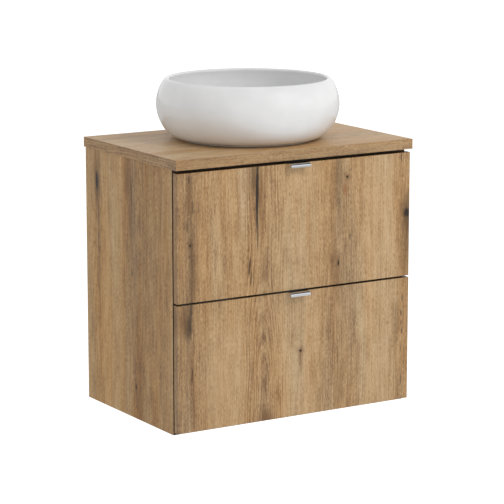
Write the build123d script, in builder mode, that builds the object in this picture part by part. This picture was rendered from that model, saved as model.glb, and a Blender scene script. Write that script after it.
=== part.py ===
"""Wall-hung vanity cabinet with two drawers, an oak-decor worktop and a round vessel basin.

Millimetres. X runs to the right, Y towards the wall, Z up. The wall is the plane Y = 0, and the
origin lies on it, midway between the two wall plates' screw holes.
"""

import os
from math import cos, radians, sin

from build123d import *

os.makedirs("parts", exist_ok=True)

# ---------------------------------------------------------------- driving sizes

# cabinet and worktop
counter_width = 600
counter_depth = 410
counter_thick = 22
counter_overhang = 4  # worktop past each side panel
carcass_height = 572
carcass_setback = 25  # worktop's front edge to the side panels' front edge
board_thick = 16
edge_round = 0.8  # edge banding of every board that shows
fixing_drop = 62  # top of the cabinet down to the wall screws

# drawer fronts
front_thick = 16
front_setback = 4  # worktop's front edge to the fronts' faces
top_gap = 7.5  # finger gap under the worktop
middle_gap = 4
bottom_reveal = 7

# rails of the cabinet
front_rail_depth = 80
rear_rail_height = 80
lower_rail_height = 70
rail_clearance = 3  # closed drawers to the rear rails, which leave room behind for the hangers
cam_radius = 7.5
cam_depth = 12
cam_inset = 24  # cam centre from the board's end
cam_bolt_radius = 3
cam_bolt_grip = 10  # how deep a cam bolt goes into the side panel
cam_from_front = 60
cam_from_wall = 80

# drawer boxes
box_thick = 12
box_bottom_thick = 6
groove_depth = 6
groove_height = 10  # lower edge of a box side to its groove
upper_box_height = 160
lower_box_height = 190
upper_box_rise = 26  # lower edge of the upper front to the box above it
lower_box_rise = 20

# ball runners
runner_length = 350
runner_space = 12.7
runner_height = 45.5
runner_steel = 1.2
runner_front_gap = 2
ball_gap = 3.2
web_gap = 0.8
runner_screw_end = 37

# pulls
pull_width = 50
pull_steel = 1.5
pull_reach = 18  # front face of the drawer to the front of the lip
pull_height = 9
pull_bend = 6.5
pull_leg = 18

# screws: shank radius, head radius, head height
screw_radius = 2
screw_head_radius = 3.6
screw_head = 2.2
wafer_head = 0.5

# basin
basin_radius = 202
basin_height = 133
belly_height = 77
crest_radius = 177
lip_radius = 3.5
foot_radius = 152
foot_width = 20
foot_height = 3
basin_wall = 11
basin_floor = 16
underside_recess = 4
bowl_floor_radius = 118
seal_thick = 1
seal_width = 10

# waste
thread_radius = 21
waste_bore = 18
waste_hole_slack = 2
flange_radius = 32
flange_thick = 3
flange_seat = 2.5  # depth of the seat it lies in
flange_slack = 1.5
flange_bevel = 3
gasket_thick = 1.5
waste_length = 84
waste_nut_radius = 31
waste_nut_height = 11
top_gasket_radius = 31
lower_gasket_radius = 29
lower_gasket_thick = 3
plug_radius = 29
plug_thick = 5
plug_travel = 9
plug_stem_radius = 4
plug_seat_gap = 0.3
plug_bevel = 1
plug_guide_slack = 0.6
plug_guide_height = 3
stem_end_gap = 8  # end of the plug's stem above the cartridge's lower end
running_clearance = 0.05
cartridge_radius = 8
cartridge_length = 34
cartridge_drop = 12

# trap
pipe_radius = 16
pipe_wall = 1.8
outlet_drop = 150  # wall screws down to the outlet's axis
socket_radius = 20
trap_radius = 31
trap_wall = 3
trap_rise = 45  # outlet's axis up to the trap's top
trap_below = 36  # outlet's axis down to the body's lower end
socket_rise = 25
dip_below = 12  # outlet's axis down to the end of the inlet tube
collar_height = 4
coupling_height = 22
coupling_wall = 5
coupling_lip = 4
cup_radius = 34
cup_height = 55
cup_overlap = 14
cup_base = 3
cup_bevel = 6
nut_radius = 25
nut_height = 22
nut_lip = 4
outlet_start_gap = 2  # trap's outside to the start of the outlet pipe in its socket
outlet_into_wall = 40
rosette_radius = 35
rosette_depth = 12
rosette_skin = 1.5
slip_fit = 0.2

# cut-out of the upper drawer round the trap
cutout_half_width = 65
cutout_ahead = 32  # trap's cup to the cut-out's front
cutout_round = 25
surround_wall = 3

# wall hangers
plate_width = 60
plate_inset = 35  # cabinet's inside face to the plate's middle
plate_steel = 2.5
wall_screw_radius = 3.25
plate_below = 20  # lower end of a wall plate below its screw
plate_web_height = 24
upstand_height = 40
hook_clearance = 0.3
hook_end_gap = 1.5  # hook's lower end above the wall plate's web
hanger_below = 18
hanger_ear = 14
hanger_screw_spread = 20
hanger_screw_drop = 10

# worktop brackets
bracket_leg = 30
bracket_width = 40
bracket_steel = 2
bracket_spread = 150
bracket_hole = 18  # bend of the bracket to its screws
rail_screw_spread = 200
screw_bite = 13  # screw's grip in a 16 or 22 mm board
bracket_screw_bite = 12
front_screw_bite = 11

# ---------------------------------------------------------------- places worked out from them

carcass_half = counter_width / 2 - counter_overhang
inside_half = carcass_half - board_thick
carcass_depth = counter_depth - carcass_setback
carcass_top = fixing_drop
carcass_bottom = carcass_top - carcass_height
counter_top = carcass_top + counter_thick

front_face = -(counter_depth - front_setback)
front_back = front_face + front_thick
front_height = (carcass_height - top_gap - middle_gap - bottom_reveal) / 2
upper_front_top = carcass_top - top_gap
upper_front_bottom = upper_front_top - front_height
lower_front_top = upper_front_bottom - middle_gap
lower_front_bottom = lower_front_top - front_height

runner_front = -carcass_depth + runner_front_gap
runner_back = runner_front + runner_length
box_half = inside_half - runner_space
box_inside_half = box_half - box_thick
box_back = runner_back
upper_box_bottom = upper_front_bottom + upper_box_rise
lower_box_bottom = lower_front_bottom + lower_box_rise
upper_runner_level = upper_box_bottom + upper_box_height / 2
lower_runner_level = lower_box_bottom + lower_box_height / 2

rail_front = box_back + rail_clearance
rail_back = rail_front + board_thick
plate_middle = inside_half - plate_inset

bowl_y = -counter_depth / 2
basin_bottom = counter_top + seal_thick
waste_top = basin_bottom + basin_floor - flange_seat + gasket_thick + flange_thick
waste_end = waste_top - waste_length
waste_hole = thread_radius + waste_hole_slack
outlet_level = -outlet_drop
trap_top = outlet_level + trap_rise
trap_bottom = outlet_level - trap_below
cutout_front = bowl_y - cup_radius - cutout_ahead

bowl_section = Plane(origin=(0, bowl_y, 0), x_dir=(1, 0, 0), z_dir=(0, -1, 0))
bowl_axis = Axis((0, bowl_y, 0), (0, 0, 1))


# ---------------------------------------------------------------- shared shapes


def save(piece, name):
    """Label a finished piece and write it as its own STEP file."""
    piece.part.label = name
    export_step(piece.part, f"parts/{name}.step")


def board(low, high, mode=Mode.ADD):
    """Add or cut a plain board between two opposite corners."""
    middle = tuple((a + b) / 2 for a, b in zip(low, high))
    size = [b - a for a, b in zip(low, high)]
    with Locations(middle):
        Box(*size, mode=mode)


def rod(start, direction, radius, length, mode=Mode.ADD):
    """Add or cut a straight round rod that starts at a point."""
    with Locations(Plane(origin=start, z_dir=direction)):
        Cylinder(radius, length, align=(Align.CENTER, Align.CENTER, Align.MIN), mode=mode)


def drill(start, direction, radius, length):
    """Cut a straight round hole from a point."""
    rod(start, direction, radius, length, mode=Mode.SUBTRACT)


def screw(seat, direction, length, head_radius=screw_head_radius, head=screw_head):
    """Add a screw whose head sits on the seat and whose shank runs along the direction."""
    outward = [-c for c in direction]
    rod(seat, outward, head_radius, head)
    rod(seat, direction, screw_radius, length)


def turned(points):
    """Add a ring turned about the basin's axis from a closed outline of (radius, height) points."""
    with BuildSketch(bowl_section, mode=Mode.PRIVATE) as outline:
        with BuildLine():
            Polyline(*points, close=True)
        make_face()
    add(revolve(outline.sketch, axis=bowl_axis, mode=Mode.PRIVATE))


# ---------------------------------------------------------------- cabinet joints

# Each cam lock is let into a board's face near its end, and its bolt comes in from the side panel.
# (depth from the wall, height, direction the cam is let in) for one side; the other side mirrors it.
bottom_middle = carcass_bottom + board_thick / 2
front_rail_middle = carcass_top - board_thick / 2
rail_middle = (rail_front + rail_back) / 2
lower_rail_bottom = carcass_bottom + board_thick
lower_rail_top = lower_rail_bottom + lower_rail_height
upper_rail_bottom = carcass_top - rear_rail_height

bottom_cams = [
    (-carcass_depth + cam_from_front, bottom_middle, "up"),
    (-cam_from_wall, bottom_middle, "up"),
]
front_rail_cams = [(-carcass_depth + front_rail_depth / 2, front_rail_middle, "up")]
upper_rail_cams = [(rail_middle, (upper_rail_bottom + carcass_top) / 2, "back")]
lower_rail_cams = [(rail_middle, (lower_rail_bottom + lower_rail_top) / 2, "back")]
all_cams = bottom_cams + front_rail_cams + upper_rail_cams + lower_rail_cams
cam_directions = {"up": (0, 0, 1), "back": (0, 1, 0)}


def cam_seat(side, y, z, way):
    """Middle of a cam's outer face, on the face of the board it is let into."""
    if way == "up":
        return (side * (inside_half - cam_inset), y, z - board_thick / 2)
    return (side * (inside_half - cam_inset), y - board_thick / 2, z)


def cut_cam_pockets(cams):
    """Cut the pockets and bolt holes of a board's cam joints at both ends."""
    for side in (-1, 1):
        for y, z, way in cams:
            drill(cam_seat(side, y, z, way), cam_directions[way], cam_radius, cam_depth)
            drill((side * inside_half, y, z), (-side, 0, 0), cam_bolt_radius, cam_inset)


with BuildPart() as cam_locks:
    for side in (-1, 1):
        for y, z, way in all_cams:
            rod(cam_seat(side, y, z, way), cam_directions[way], cam_radius, cam_depth)
    for side in (-1, 1):
        for y, z, way in all_cams:
            drill((side * inside_half, y, z), (-side, 0, 0), cam_bolt_radius, cam_inset)
save(cam_locks, "cam_locks")

bolt_length = cam_bolt_grip + cam_inset - cam_bolt_radius
with BuildPart() as cam_bolts:
    for side in (-1, 1):
        for y, z, way in all_cams:
            rod((side * (inside_half + cam_bolt_grip), y, z), (-side, 0, 0), cam_bolt_radius, bolt_length)
save(cam_bolts, "cam_bolts")


# ---------------------------------------------------------------- cabinet boards

runner_levels = {"upper": upper_runner_level, "lower": lower_runner_level}
runner_screws_y = [runner_front + runner_screw_end, runner_back - runner_screw_end]
runner_screws_y.append((runner_front + runner_back) / 2)


def side_panel(side):
    """Side panel: full height of the cabinet, from the wall to behind the drawer fronts."""
    with BuildPart() as panel:
        near, far = sorted((side * inside_half, side * carcass_half))
        board((near, -carcass_depth, carcass_bottom), (far, 0, carcass_top))
        outer_face = panel.faces().sort_by(Axis.X)[0 if side < 0 else -1]
        fillet(outer_face.edges().filter_by(Axis.Z), edge_round)
        for y, z, way in all_cams:
            drill((side * inside_half, y, z), (side, 0, 0), cam_bolt_radius, cam_bolt_grip)
        for level in runner_levels.values():
            for y in runner_screws_y:
                drill((side * inside_half, y, level), (side, 0, 0), screw_radius, screw_bite)
    return panel


save(side_panel(-1), "side_panel_left")
save(side_panel(1), "side_panel_right")

with BuildPart() as bottom_panel:
    board((-inside_half, -carcass_depth, carcass_bottom), (inside_half, 0, carcass_bottom + board_thick))
    cut_cam_pockets(bottom_cams)
save(bottom_panel, "bottom_panel")

# Two screws go up through the front rail, and two brackets hold the worktop at the back.
rail_screw_y = -carcass_depth + front_rail_depth / 2
counter_screws_x = [-rail_screw_spread, rail_screw_spread]
brackets_x = [-bracket_spread, bracket_spread]

with BuildPart() as front_rail:
    board(
        (-inside_half, -carcass_depth, carcass_top - board_thick),
        (inside_half, -carcass_depth + front_rail_depth, carcass_top),
    )
    cut_cam_pockets(front_rail_cams)
    for x in counter_screws_x:
        drill((x, rail_screw_y, carcass_top - board_thick), (0, 0, 1), screw_radius, board_thick)
save(front_rail, "top_front_rail")

# The hangers are screwed to the back of the upper rail, which also carries the worktop brackets.
hanger_top = upstand_height + plate_steel + hanger_ear
hanger_screw_offsets = [
    (-hanger_screw_spread, -hanger_screw_drop),
    (hanger_screw_spread, -hanger_screw_drop),
    (0, hanger_top - hanger_ear / 2),
]

with BuildPart() as upper_rail:
    board((-inside_half, rail_front, upper_rail_bottom), (inside_half, rail_back, carcass_top))
    cut_cam_pockets(upper_rail_cams)
    for x in brackets_x:
        drill((x, rail_front, carcass_top - bracket_hole), (0, 1, 0), screw_radius, bracket_screw_bite)
    for side in (-1, 1):
        for dx, dz in hanger_screw_offsets:
            drill((side * plate_middle + dx, rail_back, dz), (0, -1, 0), screw_radius, screw_bite)
save(upper_rail, "rear_rail_top")

with BuildPart() as lower_rail:
    board((-inside_half, rail_front, lower_rail_bottom), (inside_half, rail_back, lower_rail_top))
    cut_cam_pockets(lower_rail_cams)
save(lower_rail, "rear_rail_bottom")

with BuildPart() as countertop:
    board((-counter_width / 2, -counter_depth, carcass_top), (counter_width / 2, 0, counter_top))
    fillet(countertop.edges().filter_by(Axis.Z).sort_by(Axis.Y)[:2], edge_round)
    fillet(countertop.faces().sort_by(Axis.Z)[-1].edges(), edge_round)
    drill((0, bowl_y, carcass_top), (0, 0, 1), waste_hole, counter_thick)
    for x in counter_screws_x:
        drill((x, rail_screw_y, carcass_top), (0, 0, 1), screw_radius, screw_bite)
    for x in brackets_x:
        drill((x, rail_front - bracket_hole, carcass_top), (0, 0, 1), screw_radius, bracket_screw_bite)
save(countertop, "countertop")


# ---------------------------------------------------------------- worktop brackets and screws

def bracket_up_seat(x):
    """Seat of the screw that goes up from a bracket into the worktop."""
    return (x, rail_front - bracket_hole, carcass_top - bracket_steel)


def bracket_back_seat(x):
    """Seat of the screw that goes back from a bracket into the upper rail."""
    return (x, rail_front - bracket_steel, carcass_top - bracket_hole)


with BuildPart() as counter_brackets:
    for x in brackets_x:
        left = x - bracket_width / 2
        corner = (x + bracket_width / 2, rail_front, carcass_top)
        board((left, rail_front - bracket_steel, carcass_top - bracket_leg), corner)
        board((left, rail_front - bracket_leg, carcass_top - bracket_steel), corner)
        drill(bracket_back_seat(x), (0, 1, 0), screw_radius, bracket_steel)
        drill(bracket_up_seat(x), (0, 0, 1), screw_radius, bracket_steel)
save(counter_brackets, "counter_brackets")

with BuildPart() as counter_screws:
    for x in counter_screws_x:
        screw((x, rail_screw_y, carcass_top - board_thick), (0, 0, 1), board_thick + screw_bite)
    for x in brackets_x:
        screw(bracket_up_seat(x), (0, 0, 1), bracket_screw_bite + bracket_steel)
        screw(bracket_back_seat(x), (0, 1, 0), bracket_screw_bite + bracket_steel)
save(counter_screws, "counter_screws")


# ---------------------------------------------------------------- wall plates and hangers

# A wall plate is a Z of bent steel: a leg on the wall, a web and an upstand. The hanger on the
# rail hooks over the upstand, so the cabinet's weight rests on the upstand's top edge.
hanger_back = rail_back + plate_steel
upstand_front = hanger_back + hook_clearance
upstand_back = upstand_front + plate_steel
hook_front = upstand_back + hook_clearance
hook_back = hook_front + plate_steel
hook_tip = plate_web_height + plate_steel + hook_end_gap

with BuildPart() as wall_plates:
    for side in (-1, 1):
        left = side * plate_middle - plate_width / 2
        right = side * plate_middle + plate_width / 2
        board((left, -plate_steel, -plate_below), (right, 0, plate_web_height + plate_steel))
        board((left, upstand_front, plate_web_height), (right, 0, plate_web_height + plate_steel))
        board((left, upstand_front, plate_web_height), (right, upstand_back, upstand_height))
        drill((side * plate_middle, -plate_steel, 0), (0, 1, 0), wall_screw_radius, plate_steel)
save(wall_plates, "wall_plates")

hook_top = upstand_height + plate_steel
with BuildPart() as hangers:
    for side in (-1, 1):
        middle = side * plate_middle
        left = middle - plate_width / 2
        right = middle + plate_width / 2
        board((left, rail_back, -hanger_below), (right, hanger_back, hook_top))
        board((left, rail_back, upstand_height), (right, hook_back, hook_top))
        board((left, hook_front, hook_tip), (right, hook_back, hook_top))
        ear_low = (middle - hanger_ear, rail_back, upstand_height)
        board(ear_low, (middle + hanger_ear, hanger_back, hanger_top))
        for dx, z in hanger_screw_offsets:
            drill((middle + dx, rail_back, z), (0, 1, 0), screw_radius, plate_steel)
save(hangers, "hangers")

with BuildPart() as hanger_screws:
    for side in (-1, 1):
        for dx, z in hanger_screw_offsets:
            screw((side * plate_middle + dx, hanger_back, z), (0, -1, 0), plate_steel + screw_bite)
save(hanger_screws, "hanger_screws")


# ---------------------------------------------------------------- ball runners

# Three channels nest in one another: the outer one on the cabinet's side, the middle one, and the
# inner one on the drawer's side. Depths are counted from the cabinet's side towards the drawer.
outer_half = runner_height / 2
middle_half = outer_half - runner_steel - ball_gap
inner_half = middle_half - runner_steel - ball_gap
middle_web = runner_steel + web_gap
inner_web = runner_space - runner_steel
runner_tip = inner_web - web_gap
inner_tip = middle_web + runner_steel + web_gap


def channel(side, level, web, tip, half_height):
    """Add one channel: an upright web at one depth and two flanges that reach to the tip depth."""
    shallow = min(web, tip)
    deep = max(web + runner_steel, tip)
    web_near, web_far = sorted((side * (inside_half - web), side * (inside_half - web - runner_steel)))
    near, far = sorted((side * (inside_half - shallow), side * (inside_half - deep)))
    low = level - half_height
    high = level + half_height
    board((web_near, runner_front, low), (web_far, runner_back, high))
    board((near, runner_front, low), (far, runner_back, low + runner_steel))
    board((near, runner_front, high - runner_steel), (far, runner_back, high))


for drawer, level in runner_levels.items():
    for side, hand in ((-1, "left"), (1, "right")):
        web_inside = side * (inside_half - runner_steel)
        drawer_side = side * box_half
        with BuildPart() as outer:
            channel(side, level, 0, runner_tip, outer_half)
            for y in runner_screws_y:
                drill((web_inside, y, level), (side, 0, 0), screw_radius, runner_steel)
        save(outer, f"{drawer}_runner_outer_{hand}")
        with BuildPart() as middle:
            channel(side, level, middle_web, runner_tip, middle_half)
        save(middle, f"{drawer}_runner_middle_{hand}")
        with BuildPart() as inner:
            channel(side, level, inner_web, inner_tip, inner_half)
            for y in runner_screws_y:
                drill((drawer_side, y, level), (side, 0, 0), screw_radius, runner_steel)
        save(inner, f"{drawer}_runner_inner_{hand}")

with BuildPart() as runner_screws:
    for side in (-1, 1):
        for level in runner_levels.values():
            for y in runner_screws_y:
                seat = (side * (inside_half - runner_steel), y, level)
                screw(seat, (side, 0, 0), runner_steel + screw_bite, head=wafer_head)
save(runner_screws, "runner_screws")


# ---------------------------------------------------------------- drawers

# Each drawer is a box with a bottom let into grooves, and its front screwed on from inside.
# The upper box is cut out round the trap, which a bent plastic surround lines.
runner_box_bite = 10
corner_screw_bite = 20
corner_screw_margin = 14
front_screw_x = 190
front_screw_margin = 30
handle_screw_x = 14
handle_screw_bite = 10
handle_screw_head = 3


def box_bottom_corners(box_bottom):
    """Opposite corners of a drawer bottom, which also cut its grooves."""
    reach = box_inside_half + groove_depth
    low = box_bottom + groove_height
    front = front_back + box_thick - groove_depth
    return (-reach, front, low), (reach, box_back, low + box_bottom_thick)


def bottom_top(box_bottom):
    """Height of the upper face of a drawer's bottom."""
    return box_bottom + groove_height + box_bottom_thick


def corner_screw_seats(box_bottom, box_top):
    """Seats of the screws that join the sides to the inner front and the back, with their directions."""
    for side in (-1, 1):
        for y in (front_back + box_thick / 2, box_back - box_thick / 2):
            for z in (bottom_top(box_bottom) + corner_screw_margin, box_top - corner_screw_margin):
                yield (side * box_half, y, z), (-side, 0, 0)


def front_screw_seats(box_bottom, box_top):
    """Seats of the screws that hold the front to the inner front."""
    for x in (-front_screw_x, front_screw_x):
        for z in (box_bottom + groove_height + front_screw_margin, box_top - front_screw_margin):
            yield (x, front_back + box_thick, z), (0, -1, 0)


def handle_screw_seats(front_top):
    """Seats of the two screws that hold a pull's leg to the back of the front."""
    for x in (-handle_screw_x, handle_screw_x):
        yield (x, front_back + pull_steel, front_top - pull_leg / 2), (0, -1, 0)


def cutout(margin, low, high, back, mode):
    """Add or cut the upper drawer's U, a margin outside the surround's inner face."""
    half = cutout_half_width + margin
    front = cutout_front - margin
    with BuildSketch(Plane.XY.offset(low), mode=Mode.PRIVATE) as outline:
        with Locations((0, (front + back) / 2)):
            Rectangle(2 * half, back - front)
        fillet(outline.vertices().group_by(Axis.Y)[0], cutout_round + margin)
    add(extrude(outline.sketch, amount=high - low, mode=Mode.PRIVATE), mode=mode)


def drawer_parts(name, front_bottom, box_bottom, box_height, open_round_trap):
    """Write the boards, pull and screws of one drawer."""
    front_top = front_bottom + front_height
    box_top = box_bottom + box_height
    level = runner_levels[name]

    with BuildPart() as front:
        board((-carcass_half, front_face, front_bottom), (carcass_half, front_back, front_top))
        fillet(front.faces().sort_by(Axis.Y)[0].edges(), edge_round)
        for seat, way in front_screw_seats(box_bottom, box_top):
            drill((seat[0], front_back, seat[2]), way, screw_radius, front_screw_bite)
        for seat, way in handle_screw_seats(front_top):
            drill((seat[0], front_back, seat[2]), way, screw_radius, handle_screw_bite)
    save(front, f"{name}_drawer_front")

    for side, hand in ((-1, "left"), (1, "right")):
        near, far = sorted((side * box_inside_half, side * box_half))
        with BuildPart() as wall:
            board((near, front_back, box_bottom), (far, box_back, box_top))
            board(*box_bottom_corners(box_bottom), mode=Mode.SUBTRACT)
            for seat, way in corner_screw_seats(box_bottom, box_top):
                if seat[0] * side > 0:
                    drill(seat, way, screw_radius, box_thick)
            for y in runner_screws_y:
                drill((side * box_half, y, level), (-side, 0, 0), screw_radius, runner_box_bite)
        save(wall, f"{name}_drawer_side_{hand}")

    with BuildPart() as box_front:
        board((-box_inside_half, front_back, box_bottom), (box_inside_half, front_back + box_thick, box_top))
        board(*box_bottom_corners(box_bottom), mode=Mode.SUBTRACT)
        for seat, way in corner_screw_seats(box_bottom, box_top):
            inside = (seat[0] + way[0] * box_thick, seat[1], seat[2])
            drill(inside, way, screw_radius, corner_screw_bite)
        for seat, way in front_screw_seats(box_bottom, box_top):
            drill(seat, way, screw_radius, box_thick)
    save(box_front, f"{name}_drawer_inner_front")

    with BuildPart() as bottom:
        board(*box_bottom_corners(box_bottom))
        if open_round_trap:
            cutout(0, box_bottom, box_top, box_back + box_thick, Mode.SUBTRACT)
    save(bottom, f"{name}_drawer_bottom")

    def back(left, right):
        """Back board between two places across the drawer, drilled for its corner screws."""
        with BuildPart() as back_board:
            board((left, box_back - box_thick, bottom_top(box_bottom)), (right, box_back, box_top))
            for seat, way in corner_screw_seats(box_bottom, box_top):
                inside = (seat[0] + way[0] * box_thick, seat[1], seat[2])
                drill(inside, way, screw_radius, corner_screw_bite)
        return back_board

    if open_round_trap:
        surround_outside = cutout_half_width + surround_wall
        save(back(-box_inside_half, -surround_outside), f"{name}_drawer_back_left")
        save(back(surround_outside, box_inside_half), f"{name}_drawer_back_right")
    else:
        save(back(-box_inside_half, box_inside_half), f"{name}_drawer_back")

    with BuildPart() as screws:
        for seat, way in corner_screw_seats(box_bottom, box_top):
            screw(seat, way, box_thick + corner_screw_bite)
        for seat, way in front_screw_seats(box_bottom, box_top):
            screw(seat, way, box_thick + front_screw_bite)
        for seat, way in handle_screw_seats(front_top):
            screw(seat, way, pull_steel + handle_screw_bite, handle_screw_head)
        for side in (-1, 1):
            for y in runner_screws_y:
                seat = (side * (inside_half - inner_web), y, level)
                screw(seat, (-side, 0, 0), runner_steel + runner_box_bite, head=wafer_head)
    save(screws, f"{name}_drawer_screws")

    lip = front_face - pull_reach
    bend_inside = pull_bend - pull_steel
    pull_top = front_top + pull_steel
    with BuildPart() as pull:
        with BuildSketch(Plane.YZ.offset(-pull_width / 2)):
            with BuildLine():
                Polyline(
                    (lip + pull_bend, front_top),
                    (front_back, front_top),
                    (front_back, front_top - pull_leg),
                    (front_back + pull_steel, front_top - pull_leg),
                    (front_back + pull_steel, pull_top),
                    (lip + pull_bend, pull_top),
                )
                CenterArc((lip + pull_bend, pull_top - pull_bend), pull_bend, 90, 90)
                Polyline(
                    (lip, pull_top - pull_bend),
                    (lip, pull_top - pull_height),
                    (lip + pull_steel, pull_top - pull_height),
                    (lip + pull_steel, pull_top - pull_bend),
                )
                CenterArc((lip + pull_bend, pull_top - pull_bend), bend_inside, 90, 90)
            make_face()
        extrude(amount=pull_width)
        for seat, way in handle_screw_seats(front_top):
            drill(seat, way, screw_radius, pull_steel)
    save(pull, f"{name}_drawer_pull")


drawer_parts("upper", upper_front_bottom, upper_box_bottom, upper_box_height, open_round_trap=True)
drawer_parts("lower", lower_front_bottom, lower_box_bottom, lower_box_height, open_round_trap=False)

surround_low = bottom_top(upper_box_bottom)
surround_high = upper_box_bottom + upper_box_height
with BuildPart() as surround:
    cutout(surround_wall, surround_low, surround_high, box_back, Mode.ADD)
    cutout(0, surround_low, surround_high, box_back, Mode.SUBTRACT)
save(surround, "upper_drawer_trap_surround")


# ---------------------------------------------------------------- basin

# Slip-cast ceramic on a foot ring, turned about its own axis. The wall bellies out, then turns in
# to a thin rounded lip, and the floor falls a little to the waste.
rim_level = basin_bottom + basin_height
belly_level = basin_bottom + belly_height
foot_level = basin_bottom + foot_height
bowl_floor_level = basin_bottom + basin_floor
lip_end_angle = 220
lip_centre = (crest_radius, rim_level - lip_radius)
lip_end = (
    lip_centre[0] + lip_radius * cos(radians(lip_end_angle)),
    lip_centre[1] + lip_radius * sin(radians(lip_end_angle)),
)
belly_inside = basin_radius - basin_wall
seat_radius = flange_radius + flange_slack
lower_fullness = 0.5
upper_fullness = 0.43
floor_fullness = 0.55
inside_lead = 20  # how far the inner wall runs on from the lip before it turns down
floor_rise = 4  # how much the floor falls to the waste
floor_lead = 40  # how far the floor runs on before it turns up
belly_lead = 14  # how far the inner wall runs straight down to the belly
boss_width = 14  # flat under the floor round the waste hole
boss_slope = 2
foot_slope = 4

with BuildPart() as basin:
    with BuildSketch(bowl_section):
        with BuildLine():
            Polyline(
                (waste_hole, bowl_floor_level - flange_seat),
                (waste_hole, basin_bottom),
                (waste_hole + boss_width, basin_bottom),
                (waste_hole + boss_width + boss_slope, basin_bottom + underside_recess),
                (foot_radius - foot_width - foot_slope, basin_bottom + underside_recess),
                (foot_radius - foot_width, basin_bottom),
                (foot_radius - foot_height, basin_bottom),
                (foot_radius, foot_level),
            )
            Bezier(
                (foot_radius, foot_level),
                (foot_radius + lower_fullness * (basin_radius - foot_radius), foot_level),
                (basin_radius, belly_level - lower_fullness * (belly_height - foot_height)),
                (basin_radius, belly_level),
            )
            Bezier(
                (basin_radius, belly_level),
                (basin_radius, belly_level + upper_fullness * (rim_level - belly_level)),
                (crest_radius + upper_fullness * (basin_radius - crest_radius), rim_level),
                (crest_radius, rim_level),
            )
            CenterArc(lip_centre, lip_radius, 90, lip_end_angle - 90)
            Bezier(
                lip_end,
                (
                    lip_end[0] + inside_lead * sin(radians(lip_end_angle - 180)),
                    lip_end[1] - inside_lead * cos(radians(lip_end_angle - 180)),
                ),
                (belly_inside, belly_level + belly_lead),
                (belly_inside, belly_level),
            )
            Bezier(
                (belly_inside, belly_level),
                (belly_inside, belly_level - floor_fullness * (belly_level - bowl_floor_level)),
                (bowl_floor_radius + floor_lead, bowl_floor_level + floor_rise),
                (bowl_floor_radius, bowl_floor_level + floor_rise),
            )
            Polyline(
                (bowl_floor_radius, bowl_floor_level + floor_rise),
                (seat_radius, bowl_floor_level),
                (seat_radius, bowl_floor_level - flange_seat),
                (waste_hole, bowl_floor_level - flange_seat),
            )
        make_face()
    revolve(axis=bowl_axis)
save(basin, "basin")

seal_middle = foot_radius - foot_width / 2
with BuildPart() as basin_seal:
    turned(
        [
            (seal_middle - seal_width / 2, counter_top),
            (seal_middle + seal_width / 2, counter_top),
            (seal_middle + seal_width / 2, basin_bottom),
            (seal_middle - seal_width / 2, basin_bottom),
        ]
    )
save(basin_seal, "basin_seal")


# ---------------------------------------------------------------- waste

# The threaded body hangs by its flange in the basin's floor and is drawn down by the nut under the
# worktop. Three arms inside carry the cartridge that the plug's stem clicks in.
gasket_low = bowl_floor_level - flange_seat
hub_top = waste_top - cartridge_drop
hub_height = 8
hub_wall = 3
arm_thick = 3.5
arm_root = 1  # how far an arm runs into the body's wall
cartridge_cap = 1.5
cartridge_base = 1.5
nut_top = carcass_top - lower_gasket_thick

with BuildPart() as waste_body:
    turned(
        [
            (waste_bore, waste_end),
            (thread_radius, waste_end),
            (thread_radius, waste_top - flange_thick),
            (flange_radius, waste_top - flange_thick),
            (flange_radius, waste_top - flange_thick / 2),
            (flange_radius - flange_bevel, waste_top),
            (waste_bore, waste_top),
        ]
    )
    for turn in (90, 210, 330):
        with Locations(Location((0, bowl_y, hub_top - hub_height / 2), (0, 0, turn))):
            Box(waste_bore + arm_root, arm_thick, hub_height, align=(Align.MIN, Align.CENTER, Align.CENTER))
    rod((0, bowl_y, hub_top), (0, 0, -1), cartridge_radius + hub_wall, hub_height)
    drill((0, bowl_y, hub_top), (0, 0, -1), cartridge_radius, hub_height)
save(waste_body, "waste_body")

with BuildPart() as cartridge:
    rod((0, bowl_y, hub_top), (0, 0, -1), cartridge_radius, cartridge_length)
    rod((0, bowl_y, hub_top), (0, 0, 1), cartridge_radius + hub_wall, cartridge_cap)
    drill(
        (0, bowl_y, hub_top + cartridge_cap),
        (0, 0, -1),
        plug_stem_radius + running_clearance,
        cartridge_cap + cartridge_length - cartridge_base,
    )
save(cartridge, "waste_cartridge")

plug_bottom = waste_top + plug_seat_gap
plug_edge = plug_bottom + plug_thick / 2
stem_length = cartridge_drop + cartridge_length - stem_end_gap
with BuildPart() as plug:
    turned(
        [
            (0, plug_bottom),
            (plug_radius - plug_bevel, plug_bottom),
            (plug_radius, plug_bottom + plug_bevel),
            (plug_radius, plug_edge),
            (plug_radius - flange_bevel, plug_edge + plug_thick * 0.3),
            (plug_radius / 2, plug_bottom + plug_thick * 0.96),
            (0, plug_bottom + plug_thick),
        ]
    )
    rod((0, bowl_y, plug_bottom), (0, 0, -1), waste_bore - plug_guide_slack, plug_guide_height)
    rod((0, bowl_y, plug_bottom), (0, 0, -1), plug_stem_radius, stem_length)
save(plug, "waste_plug")

with BuildPart() as top_gasket:
    turned(
        [
            (thread_radius, gasket_low),
            (top_gasket_radius, gasket_low),
            (top_gasket_radius, gasket_low + gasket_thick),
            (thread_radius, gasket_low + gasket_thick),
        ]
    )
save(top_gasket, "waste_top_gasket")

with BuildPart() as lower_gasket:
    turned(
        [
            (thread_radius, nut_top),
            (lower_gasket_radius, nut_top),
            (lower_gasket_radius, carcass_top),
            (thread_radius, carcass_top),
        ]
    )
save(lower_gasket, "waste_lower_gasket")

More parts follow.
